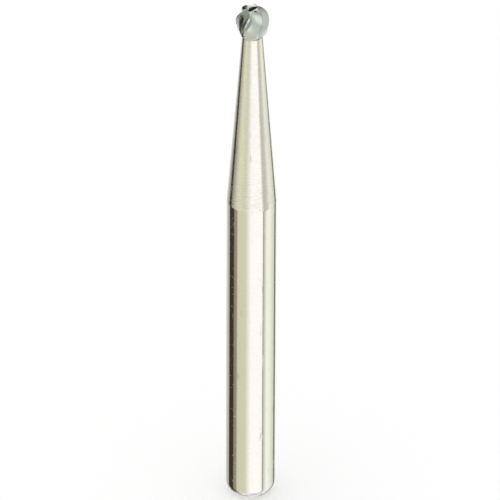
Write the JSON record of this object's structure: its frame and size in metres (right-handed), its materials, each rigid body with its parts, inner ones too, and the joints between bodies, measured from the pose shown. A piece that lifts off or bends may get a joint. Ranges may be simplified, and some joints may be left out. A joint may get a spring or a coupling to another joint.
{
  "type": "carbide burr",
  "caption": "Round carbide burr: a fluted ball with a right-hand helix and a cutting tip, brazed to a slim neck that widens down a long taper to a straight friction-grip shank.",
  "frame": {"origin": "centre of the shank's flat end, the lowest point of the burr as it stands tip up", "axes": "+Z along the burr's axis, from the shank's end to the cutting tip; +Y points away from the picture's camera and +X to its right"},
  "size_m": [0.0016, 0.0016, 0.019],
  "materials": {
    "shank_steel": "ground and polished stainless steel",
    "silver_braze": "bare silver solder, a little dull",
    "ground_carbide": "wheel-ground tungsten carbide"
  },
  "bodies": {
    "root": {"steel_shank": "shank_steel", "braze_joint": "silver_braze", "carbide_head": "ground_carbide"}
  },
  "joints": []
}
